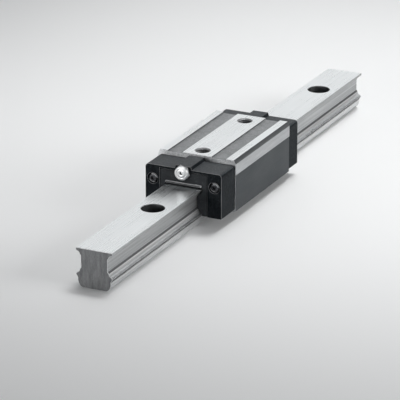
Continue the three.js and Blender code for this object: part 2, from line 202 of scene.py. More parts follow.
# Painted shade: a dark steel for the inside of the block's tapped holes.
THREAD_SHADE = machined("tapped_thread_painted_shade", (0.07, 0.072, 0.075), (0.24, 0.245, 0.25), 0.5, EVEN, 0.02 * MM,
                  0.35, 0.5)
DRAWN = machined("drawn_steel", (0.060, 0.066, 0.071), (0.095, 0.103, 0.110), 0.5, LENGTHWISE,
                 0.01 * MM, 0.7)
GROOVE = machined("milled_groove", (0.10, 0.105, 0.11), (0.33, 0.34, 0.345), 0.45, EVEN,
                  0.015 * MM, 0.3, 0.8)
BAND = machined("ground_band", (0.34, 0.35, 0.36), (0.54, 0.55, 0.56), 0.33, BRUSHED, 0.006 * MM)
CHAMFER = machined("dark_chamfer", (0.08, 0.086, 0.09), (0.17, 0.176, 0.182), 0.45, BRUSHED,
                   0.008 * MM)
# Bare ground steel on the block's end chamfers, and a painted highlight line along the rail's flare edge.
BARE_EDGE_AND_HIGHLIGHT = machined("bare_edge_and_painted_highlight", (0.66, 0.68, 0.69), (0.90, 0.91, 0.92), 0.28, EVEN, 0.004 * MM)
END_FACE = machined("ground_end_face", (0.40, 0.41, 0.42), (0.92, 0.93, 0.94), 0.38, COARSE, 0.01 * MM)
HARD = machined("hardened_steel", (0.5, 0.51, 0.53), (0.68, 0.69, 0.7), 0.25, LENGTHWISE, 0.003 * MM)
# Painted highlight: a lighter steel for the seal bar's chamfers and the nipple's front-facing chamfers and
# bevels.
EDGE_HIGHLIGHT_STEEL = machined("painted_edge_highlight_steel", (0.40, 0.41, 0.42), (0.68, 0.69, 0.70), 0.4, EVEN,
                     0.006 * MM, 0.4, 0.5)
# Painted highlight: a bright zinc for the screws' rim faces.
GLINT = machined("painted_glint_zinc", (0.75, 0.76, 0.77), (0.95, 0.95, 0.96), 0.35, EVEN, 0.004 * MM, 0.4, 0.4)
# Black oxide on the screws and plug; painted shade behind the nipple's head.
BLACK_OXIDE_AND_SHADE = machined("black_oxide_and_painted_shade", (0.03, 0.031, 0.034), (0.11, 0.112, 0.12), 0.3, EVEN, 0.01 * MM)
CAP = moulded("cap_plastic", (0.003, 0.005, 0.007), (0.018, 0.021, 0.024), 0.46, 0.8 * MM,
              0.03 * MM, 0.05)
# Painted light: a lighter copy of the cap plastic for its upward faces.
CAP_TOP_LIGHT = moulded("cap_painted_top_light", (0.020, 0.024, 0.028), (0.058, 0.063, 0.068), 0.46, 0.8 * MM,
                  0.03 * MM, 0.12)
# Painted highlight: a lighter, glossier copy of the cap plastic for the chamfer round each cap's outer
# end.
CAP_EDGE_HIGHLIGHT = moulded("cap_edge_painted_highlight", (0.17, 0.175, 0.18), (0.32, 0.325, 0.33), 0.32, 0.5 * MM,
                   0.01 * MM, 0.6)
GUIDE = moulded("guide_plastic", (0.09, 0.18, 0.12), (0.14, 0.26, 0.18), 0.45, 0.3 * MM, 0.01 * MM, 0.4)
SEAL = moulded("seal_rubber", (0.022, 0.024, 0.027), (0.042, 0.046, 0.050), 0.5, 0.4 * MM,
               0.02 * MM, 0.12)
CHROME = polished("ball_steel", (0.72, 0.73, 0.74), (0.9, 0.91, 0.92), 0.10)
PLATED = polished("plated_nipple", (0.86, 0.87, 0.88), (0.97, 0.975, 0.98), 0.34)
SPRING = polished("spring_wire", (0.35, 0.35, 0.36), (0.55, 0.55, 0.56), 0.3)


# ---- Mesh helpers --------------------------------------------------------------------------------


def arc(centre, radius, start, stop, steps):
    """Points (x, z) on an arc, angles in degrees from +X towards +Z."""
    angles = [math.radians(start + (stop - start) * i / steps) for i in range(steps + 1)]
    return [(centre[0] + radius * math.cos(a), centre[1] + radius * math.sin(a)) for a in angles]


def mirrored(right_side):
    """A symmetric outline from its right half, as (x, z) or (x, z, r) points."""
    return right_side + [(-x, *rest) for x, *rest in reversed(right_side)]


def rounded(points, steps=4):
    """An outline of (x, z, r) or (x, z) points, with each corner that has an r turned to a curve."""
    made = []
    count = len(points)
    for i, point in enumerate(points):
        r = point[2] if len(point) > 2 else 0
        here = Vector(point[:2])
        before = Vector(points[i - 1][:2]) - here
        after = Vector(points[(i + 1) % count][:2]) - here
        if r <= 0:
            made.append((here.x, here.y))
            continue
        turn = before.angle(after)
        cut = min(r / math.tan(turn / 2), 0.45 * before.length, 0.45 * after.length)
        start, stop = here + before.normalized() * cut, here + after.normalized() * cut
        for k in range(steps + 1):
            t = k / steps
            p = start * (1 - t) ** 2 + here * (2 * t * (1 - t)) + stop * t ** 2
            made.append((p.x, p.y))
    return made


def mesh_object(name, bm):
    bmesh.ops.recalc_face_normals(bm, faces=bm.faces)
    mesh = bpy.data.meshes.new(name)
    bm.to_mesh(mesh)
    bm.free()
    made = bpy.data.objects.new(name, mesh)
    bpy.context.scene.collection.objects.link(made)
    return made


def extrusion(name, outline, y0, y1):
    """An outline in X and Z carried along Y."""
    bm = bmesh.new()
    near = [bm.verts.new((x, y0, z)) for x, z in outline]
    far = [bm.verts.new((x, y1, z)) for x, z in outline]
    bm.faces.new(near)
    bm.faces.new(list(reversed(far)))
    for i in range(len(outline)):
        j = (i + 1) % len(outline)
        bm.faces.new((near[i], far[i], far[j], near[j]))
    return mesh_object(name, bm)


def turned(name, profile, axis, start, sides=48):
    """A profile of (radius, distance) turned about an axis from a start point."""
    axis = Vector(axis).normalized()
    side = axis.orthogonal().normalized()
    other = axis.cross(side)
    bm = bmesh.new()
    rings = []
    for radius, along in profile:
        centre = Vector(start) + axis * along
        if radius < 1e-9:
            rings.append([bm.verts.new(centre)])
            continue
        angles = [2 * math.pi * i / sides for i in range(sides)]
        rings.append([bm.verts.new(centre + radius * (side * math.cos(a) + other * math.sin(a)))
                      for a in angles])
    for a, b in zip(rings, rings[1:]):
        for i in range(sides):
            j = (i + 1) % sides
            corners = [a[i % len(a)], a[j % len(a)], b[j % len(b)], b[i % len(b)]]
            distinct = list(dict.fromkeys(corners))
            if len(distinct) > 2:
                bm.faces.new(distinct)
    return mesh_object(name, bm)


def cylinder(name, radius, axis, start, length, sides=48):
    """A closed round tool, for drilling."""
    return turned(name, [(0, 0), (radius, 0), (radius, length), (0, length)], axis, start, sides)


def block(name, low, high):
    """A box between two corners, used as a cutting tool and as stock for a bevelled bar."""
    bm = bmesh.new()
    bmesh.ops.create_cube(bm, size=1.0)
    low, high = Vector(low), Vector(high)
    for v in bm.verts:
        v.co = Vector((low[i] + (v.co[i] + 0.5) * (high[i] - low[i]) for i in range(3)))
    return mesh_object(name, bm)


def combine(piece, tool, operation):
    """Joins a tool to a piece or cuts it out, and keeps the result as the piece's own mesh."""
    modifier = piece.modifiers.new("boolean", "BOOLEAN")
    modifier.operation = operation
    modifier.solver = "EXACT"
    modifier.object = tool
    graph = bpy.context.evaluated_depsgraph_get()
    graph.update()
    mesh = bpy.data.meshes.new_from_object(piece.evaluated_get(graph))
    piece.modifiers.clear()
    old = piece.data
    piece.data = mesh
    bpy.data.meshes.remove(old)
    bpy.data.objects.remove(tool)


def cut(piece, tool):
    combine(piece, tool, "DIFFERENCE")


def join(piece, tool):
    combine(piece, tool, "UNION")


def paint(piece, choose, *materials):
    """Gives each face the material number that choose(centre, normal) returns."""
    for material in materials:
        piece.data.materials.append(material)
    for face in piece.data.polygons:
        face.material_index = choose(face.center, face.normal)


def smooth(piece):
    for face in piece.data.polygons:
        face.use_smooth = True


def finish_edges(piece, width, segments=2, edge_slot=-1, angle=50):
    """Breaks the sharp edges and evens the shading across the flats."""
    bevel = piece.modifiers.new("edges", "BEVEL")
    bevel.width = width
    bevel.segments = segments
    bevel.limit_method = "ANGLE"
    bevel.angle_limit = math.radians(angle)
    bevel.use_clamp_overlap = True
    bevel.miter_outer = "MITER_ARC"
    bevel.harden_normals = False
    bevel.material = edge_slot
    smooth(piece)
    weighted = piece.modifiers.new("normals", "WEIGHTED_NORMAL")
    weighted.keep_sharp = False
    weighted.weight = 80


def chamfer_ends(piece, width, slot, *ends):
    """Chamfers the edges around the end faces at these places along Y, in a material of its own."""
    bm = bmesh.new()
    bm.from_mesh(piece.data)
    weights = bm.edges.layers.float.new("bevel_weight_edge")
    for edge in bm.edges:
        first, second = (v.co.y for v in edge.verts)
        level = abs(first - second) < 1e-6 and min(abs(first - end) for end in ends) < 1e-6
        if level and edge.calc_face_angle(0) > math.radians(30):
            edge[weights] = 1.0
    bm.to_mesh(piece.data)
    bm.free()
    bevel = piece.modifiers.new("ends", "BEVEL")
    bevel.width = width
    bevel.segments = 1
    bevel.limit_method = "WEIGHT"
    bevel.use_clamp_overlap = True
    bevel.material = slot


def place(piece, body, slot, *nodes):
    """Rides a piece on its body and hides the CAD nodes that it stands for; its slot is not used."""
    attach(piece, body)
    if nodes:
        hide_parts(*nodes)


def low_high(node):
    """A CAD node's lowest and highest corners."""
    low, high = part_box(node)
    return Vector(low), Vector(high)


# ---- Rail ----------------------------------------------------------------------------------------

RAIL_LOW, RAIL_HIGH = low_high("rail")
RAIL_HALF = RAIL_HIGH.x
RAIL_TOP = RAIL_HIGH.z
LIP_BOTTOM = RAIL_TOP - 1.25 * MM
WAIST = 8.0 * MM  # half of the rail's width at its waist
WAIST_TOP, WAIST_BOTTOM = 18.3 * MM, 11.3 * MM
FLARE = 7.4 * MM  # height at which the rail is widest below its waist
CREASE_HEIGHT, FLARE_EDGE = 0.7 * MM, 0.6 * MM  # painted shade as a dark line under the waist, painted highlight as a bright one above the flare
FOOT_HALF, FOOT_TOP = 9.9 * MM, 5.4 * MM
FOOT_INSET, FOOT_RISE = 3.3 * MM, 4.6 * MM  # the rounding at the foot's corners
RACE_RADIUS = 2.08 * MM
RACE_REACH = 1.63 * MM  # from a ball's centre to the slanted face that it runs on
HOLE_PITCH, HOLE_COUNT, FIRST_HOLE = 75 * MM, 4, 70 * MM
BOLT_RADIUS, HEAD_RADIUS, HEAD_DEPTH = 3.5 * MM, 6.45 * MM, 9 * MM
HOLE_RIM = 0.35 * MM  # chamfer around each hole's mouth
RAIL_END_CHAMFER = 0.25 * MM


def race(outer, inner, flip):
    """The groove's arc on a slanted face, from its outer to its inner end, and the ball's centre."""
    outer, inner = Vector(outer), Vector(inner)
    along = (inner - outer).normalized()
    away = Vector((-along.y, along.x)) * flip
    ball = (outer + inner) / 2 + away * RACE_REACH
    facing = math.degrees(math.atan2(-away.y, -away.x))
    spread = math.degrees(math.acos(RACE_REACH / RACE_RADIUS))
    return ball, arc(ball, RACE_RADIUS, facing - spread, facing + spread, 10)


UPPER_BALL, UPPER_RACE = race((RAIL_HALF, LIP_BOTTOM), (WAIST, WAIST_TOP), 1)
LOWER_BALL, LOWER_RACE = race((RAIL_HALF, FLARE), (WAIST, WAIST_BOTTOM), -1)


def rail_outline():
    """The rail's section: lip, waist with a raceway above and below it, flare and rounded foot."""
    foot = [(FOOT_HALF - FOOT_INSET * (1 - u), FOOT_RISE * (1 + v))
            for u, v in arc((0, 0), 1, 0, -90, 12)]
    return mirrored([(RAIL_HALF, RAIL_TOP), (RAIL_HALF, LIP_BOTTOM), *UPPER_RACE,
                     (WAIST, WAIST_TOP), (WAIST, WAIST_BOTTOM), *LOWER_RACE, (RAIL_HALF, FLARE),
                     (FOOT_HALF, FOOT_TOP), *foot])


def rail_zone(centre, normal):
    """0 ground top, 1 side, 2 cut end, 3 in a hole (painted shade), 4 lower raceway and foot, 5 edge
    (painted highlight), 6 crease (painted shade).
    """
    if abs(normal.y) > 0.95 and abs(abs(centre.y) - RAIL_HIGH.y) < CLOSE:
        return 2
    if normal.z > 0.95 and centre.z > RAIL_TOP - CLOSE:
        return 0
    # Painted shade inside the holes.
    if abs(centre.x) < HEAD_RADIUS + CLOSE and centre.z > CLOSE:
        return 3
    # Painted shade: the faces in the crease just under the waist, and those between the flare and the
    # foot, are a dark steel.
    if FLARE < centre.z < WAIST_BOTTOM and normal.z > 0.1:
        if centre.z > WAIST_BOTTOM - CREASE_HEIGHT:
            return 6
        # Painted highlight: a bright strip just above the flare.
        return 5 if centre.z < FLARE + FLARE_EDGE else 4
    if FOOT_TOP < centre.z < FLARE:
        return 6
    return 4 if centre.z < FOOT_TOP else 1


def build_rail():
    piece = extrusion("rail_body", rail_outline(), RAIL_LOW.y, RAIL_HIGH.y)
    floor = RAIL_TOP - HEAD_DEPTH
    profile = [(0, -OVER), (BOLT_RADIUS, -OVER), (BOLT_RADIUS, floor - FINE),
               (BOLT_RADIUS + FINE, floor), (HEAD_RADIUS, floor),
               (HEAD_RADIUS, RAIL_TOP - HOLE_RIM), (HEAD_RADIUS + HOLE_RIM, RAIL_TOP),
               (HEAD_RADIUS + HOLE_RIM, RAIL_TOP + OVER), (0, RAIL_TOP + OVER)]
    for i in range(HOLE_COUNT):
        y = RAIL_LOW.y + FIRST_HOLE + i * HOLE_PITCH
        cut(piece, turned("hole", profile, (0, 0, 1), (0, y, 0), 72))
    paint(piece, rail_zone, GROUND, RAIL_SIDE, SAW_CUT, BORE_SHADE, RACEWAY, BARE_EDGE_AND_HIGHLIGHT, CREASE_SHADE)
    chamfer_ends(piece, RAIL_END_CHAMFER, 4, RAIL_LOW.y, RAIL_HIGH.y)
    finish_edges(piece, 0.2 * MM)
    place(piece, "rail", "ground_steel", "rail")


# ---- Carriage block ------------------------------------------------------------------------------

BLOCK_LOW, BLOCK_HIGH = low_high("carriage_block")
BLOCK_HALF, BLOCK_TOP = BLOCK_HIGH.x, BLOCK_HIGH.z
SIDE_INSET = 0.15 * MM  # how far the rough side lies behind the ground band
LAND_EDGE, BAND_TOP, BAND_BOTTOM = 22.75 * MM, 33.33 * MM, 26.85 * MM
OUTER_LAND, CENTRE_LAND, GROOVE_FLOOR = 17.98 * MM, 8.91 * MM, 34.72 * MM
CHANNEL, CHANNEL_TOP, LEG = 11.8 * MM, 23.1 * MM, 13 * MM
POCKET, POCKET_TOP, POCKET_BOTTOM = 15.3 * MM, 21.1 * MM, 7.9 * MM
TAPPED = [-34.3 * MM, 21.7 * MM]  # the tapped holes' places along Y
TAP_RADIUS, TAP_MOUTH, TAP_DEPTH = 3.7 * MM, 4.54 * MM, 9 * MM
THREAD_PITCH, THREAD_COUNT, THREAD_DEPTH = 1.25 * MM, 6, 0.55 * MM
FIRST_THREAD = 0.75 * MM  # below the mouth
RETURN_X, RETURN_BORE = 19 * MM, 2.9 * MM
SCREW_LOW, SCREW_HIGH = low_high("front_cap_screw_right")
SCREW_X, SCREW_Z = (SCREW_LOW.x + SCREW_HIGH.x) / 2, (SCREW_LOW.z + SCREW_HIGH.z) / 2
SCREW_HOLE, SCREW_HOLE_DEPTH = 1.6 * MM, 7 * MM
BLOCK_END_CHAMFER = 0.5 * MM


def block_outline():
    """The block's section: lands and grooves above, ground band and rough side, channel and pockets."""
    side = BLOCK_HALF - SIDE_INSET
    groove = 0.55 * MM  # fillet radius at the groove's floor
    right = [(CENTRE_LAND, BLOCK_TOP), (CENTRE_LAND, GROOVE_FLOOR, groove),
             (OUTER_LAND, GROOVE_FLOOR, groove), (OUTER_LAND, BLOCK_TOP), (LAND_EDGE, BLOCK_TOP),
             (BLOCK_HALF, BAND_TOP), (BLOCK_HALF, BAND_BOTTOM), (side, BAND_BOTTOM - SIDE_INSET),
             (side, BLOCK_LOW.z, 0.6 * MM), (LEG, BLOCK_LOW.z), (LEG, POCKET_BOTTOM),
             (POCKET, POCKET_BOTTOM), (POCKET, POCKET_TOP), (CHANNEL, POCKET_TOP),
             (CHANNEL, CHANNEL_TOP, 0.8 * MM)]
    return rounded(mirrored(right))


def block_zone(centre, normal):
    """0 ground land, 1 rough side, 2 groove, 3 side band, 4 chamfer, 5 end face, 6 hole (painted shade).
    """
    x, z = abs(centre.x), centre.z
    from_end = min(abs(centre.y - BLOCK_LOW.y), abs(centre.y - BLOCK_HIGH.y))
    if abs(normal.y) > 0.95 and from_end < CLOSE:
        return 5
    if z > BLOCK_TOP - CLOSE and normal.z > 0.9:
        return 0
    # Painted shade inside the tapped holes.
    if x < TAP_MOUTH + CLOSE and z > CHANNEL_TOP + OVER:
        return 6
    if z > GROOVE_FLOOR - CLOSE and x < OUTER_LAND + 10 * CLOSE:
        return 2
    if x > LAND_EDGE - 10 * CLOSE and z > BAND_TOP - CLOSE:
        return 4
    if x > BLOCK_HALF - CLOSE:
        return 3
    return 1


def tapped_hole(y):
    """A threaded hole as a turned profile: a countersunk mouth and a row of thread ridges."""
    root = TAP_RADIUS - THREAD_DEPTH
    profile = [(0, -TAP_DEPTH), (root, -TAP_DEPTH)]
    for i in range(THREAD_COUNT, 0, -1):
        profile.append((root, -i * THREAD_PITCH - FIRST_THREAD))
        profile.append((TAP_RADIUS, -(i - 0.5) * THREAD_PITCH - FIRST_THREAD))
    profile += [(TAP_RADIUS - 0.1 * MM, -0.8 * MM), (TAP_MOUTH, 0), (TAP_MOUTH, OVER), (0, OVER)]
    return turned("tapped", profile, (0, 0, 1), (0, y, BLOCK_TOP), 56)


def build_block():
    piece = extrusion("block_body", block_outline(), BLOCK_LOW.y, BLOCK_HIGH.y)
    length = BLOCK_HIGH.y - BLOCK_LOW.y
    for side in (-1, 1):
        for ball in (UPPER_BALL, LOWER_BALL):
            start = (side * RETURN_X, BLOCK_LOW.y - OVER, ball.y)
            cut(piece, cylinder("bore", RETURN_BORE, (0, 1, 0), start, length + 2 * OVER, 40))
        for y in (BLOCK_LOW.y - OVER, BLOCK_HIGH.y - SCREW_HOLE_DEPTH):
            start = (side * SCREW_X, y, SCREW_Z)
            cut(piece, cylinder("screw_hole", SCREW_HOLE, (0, 1, 0), start, SCREW_HOLE_DEPTH + OVER, 24))
    for y in TAPPED:
        cut(piece, tapped_hole(y))
    paint(piece, block_zone, GROUND, DRAWN, GROOVE, BAND, CHAMFER, END_FACE, THREAD_SHADE, BARE_EDGE_AND_HIGHLIGHT)
    chamfer_ends(piece, BLOCK_END_CHAMFER, 7, BLOCK_LOW.y, BLOCK_HIGH.y)
    finish_edges(piece, 0.18 * MM)
    place(piece, "carriage", "carriage_steel", "carriage_block")


# ---- End caps ------------------------------------------------------------------------------------

BOSS_HALF = 5.2 * MM  # the raised middle above the nipple
CAP_CORNER = 2.2 * MM
CAP_END_CHAMFER = 0.35 * MM
CAP_CHANNEL, CAP_CHANNEL_TOP = 11.9 * MM, 23.7 * MM
SEAL_HIGH = low_high("front_end_seal")[1]
PORT_RADIUS = 2.75 * MM
NIPPLE_LOW, NIPPLE_HIGH = low_high("grease_nipple")
NIPPLE_Z = (NIPPLE_LOW.z + NIPPLE_HIGH.z) / 2
CAP_TOP = 32.67 * MM
POCKET_RADIUS, POCKET_DEPTH = 3.3 * MM, 3 * MM
SEAL_RECESS = 2.1 * MM
GUIDE_DEPTH, GUIDE_SIDE = 7.2 * MM, 22.5 * MM  # the room for the balls' turns
GUIDE_LOW, GUIDE_HIGH = 7.4 * MM, 21.7 * MM


def cap_outline(low, high):
    """A cap's section, with its rounded shoulders and the boss on top."""
    half, bottom = high.x, low.z
    right = [(BOSS_HALF - 0.5 * MM, high.z, 0.3 * MM), (BOSS_HALF, CAP_TOP, 0.35 * MM),
             (half, CAP_TOP, CAP_CORNER), (half, bottom, 0.5 * MM), (CAP_CHANNEL, bottom, 0.4 * MM),
             (CAP_CHANNEL, CAP_CHANNEL_TOP, 1.0 * MM)]
    return rounded(mirrored(right), 5)


def build_cap(node, outward):
    """One end cap, with its seal recess, grease port, screw pockets and room for the balls' turns."""
    low, high = low_high(node)
    outer = low.y if outward < 0 else high.y
    inner = high.y if outward < 0 else low.y
    direction = (0, outward, 0)
    piece = extrusion(f"{node}_body", cap_outline(low, high), low.y, high.y)
    ys = sorted((outer + outward * OVER, outer - outward * SEAL_RECESS))
    cut(piece, block("recess", (-SEAL_HIGH.x - FINE, ys[0], low.z - OVER),
                     (SEAL_HIGH.x + FINE, ys[1], SEAL_HIGH.z + FINE)))
    depth = abs(outer - inner)
    start = (0, inner - outward * OVER, NIPPLE_Z)
    cut(piece, cylinder("port", PORT_RADIUS, direction, start, depth + 2 * OVER, 40))
    for side in (-1, 1):
        pocket = (side * SCREW_X, outer - outward * POCKET_DEPTH, SCREW_Z)
        cut(piece, cylinder("pocket", POCKET_RADIUS, direction, pocket, POCKET_DEPTH + OVER, 48))
        through = (side * SCREW_X, inner - outward * OVER, SCREW_Z)
        cut(piece, cylinder("through", SCREW_HOLE, direction, through, depth + 2 * OVER, 24))
        ys = sorted((inner - outward * OVER, inner + outward * GUIDE_DEPTH))
        xs = sorted((side * (CAP_CHANNEL - OVER), side * GUIDE_SIDE))
        cut(piece, block("guide_room", (xs[0], ys[0], GUIDE_LOW), (xs[1], ys[1], GUIDE_HIGH)))
    # Painted light: upward faces take the lighter copy of the cap plastic.
    paint(piece, lambda centre, normal: 2 * int(normal.z > 0.7), CAP, CAP_EDGE_HIGHLIGHT, CAP_TOP_LIGHT)
    # The outer end's chamfer takes the painted highlight.
    chamfer_ends(piece, CAP_END_CHAMFER, 1, outer)
    finish_edges(piece, 0.25 * MM)
    place(piece, "carriage", "cap_plastic", node)


# ---- Seals ---------------------------------------------------------------------------------------

LIP_CLEARANCE = 0.35 * MM  # between the seal's edge and the rail
SEAL_THICKNESS = 1.6 * MM
RIB_HALF, RIB_LOW, RIB_TOP = 11.2 * MM, 23.2 * MM, 24.6 * MM  # the bar across the seal
RIB_PROUD, RIB_SUNK, RIB_CHAMFER = 0.5 * MM, 0.5 * MM, 0.42 * MM
NOTCH_LENGTH = 4 * MM


def build_seal(node, outward):
    """One end seal: a plate that follows the rail's section, with a bar across it and a nipple notch."""
    low, high = low_high(node)
    clear = LIP_CLEARANCE
    outer = low.y + RIB_PROUD if outward < 0 else high.y - RIB_PROUD
    inner = outer - outward * SEAL_THICKNESS
    right = [(high.x, high.z, 0.9 * MM), (high.x, low.z, 0.4 * MM),
             (FOOT_HALF + 1.1 * MM + clear, low.z, 0.3 * MM),
             (RAIL_HALF + clear, FLARE + 0.1 * MM, 0.3 * MM),
             (WAIST + clear, WAIST_BOTTOM + 0.4 * MM, 0.8 * MM),
             (WAIST + clear, WAIST_TOP - 0.4 * MM, 0.8 * MM),
             (RAIL_HALF + clear, LIP_BOTTOM - 0.4 * MM, 0.3 * MM),
             (RAIL_HALF + clear, RAIL_TOP + clear, 0.3 * MM)]
    piece = extrusion(f"{node}_body", rounded(mirrored(right)), *sorted((outer, inner)))
    ys = sorted((outer - outward * RIB_SUNK, outer + outward * RIB_PROUD))
    rib = block(f"{node}_rib", (-RIB_HALF, ys[0], RIB_LOW), (RIB_HALF, ys[1], RIB_TOP))
    # The bar's chamfers are a lighter steel: painted highlight lines along its edges.
    paint(rib, lambda centre, normal: 0, SEAL, EDGE_HIGHLIGHT_STEEL)
    finish_edges(rib, RIB_CHAMFER, segments=1, edge_slot=1)
    place(rib, "carriage", "seal_rubber")
    start = (0, min(outer, inner) - OVER, NIPPLE_Z)
    cut(piece, cylinder("notch", PORT_RADIUS + FINE, (0, 1, 0), start, NOTCH_LENGTH, 40))
    paint(piece, lambda centre, normal: 0, SEAL)
    finish_edges(piece, 0.22 * MM)
    place(piece, "carriage", "seal_rubber", node)


# ---- Small parts ---------------------------------------------------------------------------------


SCREW_HEAD, SCREW_HEAD_RADIUS, SCREW_SHANK = 2.6 * MM, 2.75 * MM, 1.45 * MM
SCREW_DOME = 1.2 * MM  # radius of the head's rounded rim
SOCKET_RADIUS, SOCKET_LENGTH = 1.35 * MM, 3 * MM
SCREW_SOCKET_DEPTH, PLUG_SOCKET_DEPTH = 1.4 * MM, 1.6 * MM


def build_screw(node, outward):
    """A cap screw with a domed rim and a hexagon socket, with a painted highlight on the rim faces that
    turn up and right or down and left.
    """
    low, high = low_high(node)
    x, z = (low.x + high.x) / 2, (low.z + high.z) / 2
    length = high.y - low.y
    start = low.y if outward > 0 else high.y
    head_radius, shank, dome = SCREW_HEAD_RADIUS, SCREW_SHANK, SCREW_DOME
    neck = length - SCREW_HEAD
    rim = [(head_radius - dome * (1 - math.cos(a)), length - dome * (1 - math.sin(a)))
           for a in (math.radians(15 * i) for i in range(7))]
    profile = [(0, 0), (shank - FINE, 0), (shank, FINE), (shank, neck), (head_radius, neck),
               *rim, (0, length)]
    piece = turned(f"{node}_body", profile, (0, outward, 0), (x, start, z), 40)
    socket = (x, start + outward * (length - SCREW_SOCKET_DEPTH), z)
    cut(piece, cylinder("socket", SOCKET_RADIUS, (0, outward, 0), socket, SOCKET_LENGTH, 6))
    shoulder = start + outward * (neck + SCREW_HEAD / 2)

    # Painted highlight on the rim faces that turn up and right or down and left.
    def in_painted_glint(centre, normal):
        on_rim = (centre.y - shoulder) * outward > 0 and 0.1 < abs(normal.y) < 0.93
        return int(on_rim and abs(normal.z + 0.5 * normal.x) > 0.5)

    paint(piece, in_painted_glint, BLACK_OXIDE_AND_SHADE, GLINT)
    finish_edges(piece, 0.08 * MM, angle=28)
    place(piece, "carriage", "screw_steel", node)


def build_plug():
    """The socket plug in the far cap's grease port."""
    node = "rear_port_plug"
    low, high = low_high(node)
    length, radius = high.y - low.y, high.x
    profile = [(0, 0), (radius - FINE, 0), (radius, FINE), (radius, length - FINE),
               (radius - FINE, length), (0, length)]
    piece = turned(f"{node}_body", profile, (0, 1, 0), (0, low.y, NIPPLE_Z), 40)
    socket = (0, high.y - PLUG_SOCKET_DEPTH, NIPPLE_Z)
    cut(piece, cylinder("socket", SOCKET_RADIUS, (0, 1, 0), socket, SOCKET_LENGTH, 6))
    paint(piece, lambda centre, normal: 0, BLACK_OXIDE_AND_SHADE)
    finish_edges(piece, 0.08 * MM, angle=28)
    place(piece, "carriage", "screw_steel", node)


def build_nipple():
    """The grease nipple: ringed head, neck and threaded stem, on a hexagon, with its mouth open."""
    low, high = NIPPLE_LOW, NIPPLE_HIGH
    length = high.y - low.y
    head, neck, stem = high.x, 2.7 * MM, 2.4 * MM
    proud, mouth, bore = 3.2 * MM, 0.75 * MM, 1.3 * MM
    hex_low, hex_high, hex_inner = 1.7 * MM, proud - 0.2 * MM, neck - 0.2 * MM
    hex_top, hex_chamfer = 4.6 * MM, 0.4 * MM
    profile = [(bore, length), (stem, length), (stem, hex_high), (neck, hex_low + hex_chamfer),
               (neck, 1.75 * MM), (head - 0.25 * MM, 1.5 * MM), (head, 1.15 * MM), (head, 0.55 * MM),
               (head - 0.2 * MM, 0.2 * MM), (head - 0.55 * MM, 0.02 * MM), (head - 1.1 * MM, 0),
               (head - 1.3 * MM, 0.16 * MM), (head - 1.6 * MM, 0.16 * MM), (head - 1.8 * MM, 0),
               (mouth + 0.35 * MM, 0), (mouth + 0.1 * MM, 0.1 * MM), (mouth, 0.3 * MM),
               (mouth, 0.7 * MM), (bore, 1.2 * MM), (bore, length)]
    piece = turned("grease_nipple_body", profile, (0, 1, 0), (0, low.y, NIPPLE_Z), 64)
    hexagon = [(hex_inner, hex_low), (hex_top - 0.5 * MM, hex_low), (hex_top, hex_low + hex_chamfer),
               (hex_top, hex_high), (hex_inner, hex_high), (hex_inner, hex_low)]
    join(piece, turned("hexagon", hexagon, (0, 1, 0), (0, low.y, NIPPLE_Z), 6))
    behind_head = low.y + 1.6 * MM
    # Painted shade and highlight: behind the head the plated nipple is drawn as dark steel, with its
    # front-facing chamfers and all bevels in the lighter highlight steel.
    paint(piece, lambda centre, normal: (centre.y > behind_head) * (1 + (normal.y < -0.3)),
          PLATED, BLACK_OXIDE_AND_SHADE, EDGE_HIGHLIGHT_STEEL)
    finish_edges(piece, 0.1 * MM, edge_slot=2, angle=40)
    place(piece, "carriage", "nipple_metal", "grease_nipple")


def sphere(bm, centre, radius, around, rings):
    matrix = Matrix.Translation(centre)
    bmesh.ops.create_uvsphere(bm, u_segments=around, v_segments=rings, radius=radius, matrix=matrix)


def build_check_ball():
    """The ball that closes the nipple, on a body of its own."""
    low, high = low_high("nipple_check_ball")
    bm = bmesh.new()
    sphere(bm, (low + high) / 2, (high.x - low.x) / 2, 32, 20)
    piece = mesh_object("check_ball", bm)
    piece.data.materials.append(CHROME)
    smooth(piece)
    place(piece, "check_ball", "ball_steel", "nipple_check_ball")


WIRE_RADIUS, SPRING_TURNS = 0.16 * MM, 7


def build_spring():
    """The nipple's coil spring: a round wire along a helix, built at one fixed length."""
    low, high = low_high("nipple_spring")
    centre = (low + high) / 2
    steps, sides = 24, 8
    radius = high.x - WIRE_RADIUS
    length = high.y - low.y - 2 * WIRE_RADIUS
    along = Vector((0, 1, 0))
    bm = bmesh.new()
    rings = []
    for i in range(SPRING_TURNS * steps + 1):
        angle = 2 * math.pi * i / steps
        outward = Vector((math.cos(angle), 0, math.sin(angle)))
        y = low.y + WIRE_RADIUS + length * i / (SPRING_TURNS * steps)
        middle = Vector((0, y, centre.z)) + outward * radius
        angles = [2 * math.pi * k / sides for k in range(sides)]
        rings.append([bm.verts.new(middle + WIRE_RADIUS * (outward * math.cos(a) + along * math.sin(a)))
                      for a in angles])
    for a, b in zip(rings, rings[1:]):
        for k in range(sides):
            bm.faces.new((a[k], a[(k + 1) % sides], b[(k + 1) % sides], b[k]))
    bm.faces.new(list(reversed(rings[0])))
    bm.faces.new(rings[-1])
    piece = mesh_object("nipple_spring_coil", bm)
    piece.data.materials.append(SPRING)
    smooth(piece)
    place(piece, "carriage", "spring_steel", "nipple_spring")
    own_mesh(piece)


BALL_RADIUS, BALL_PITCH = 1.95 * MM, 4.06 * MM  # pitch is the least; the balls share the loop evenly


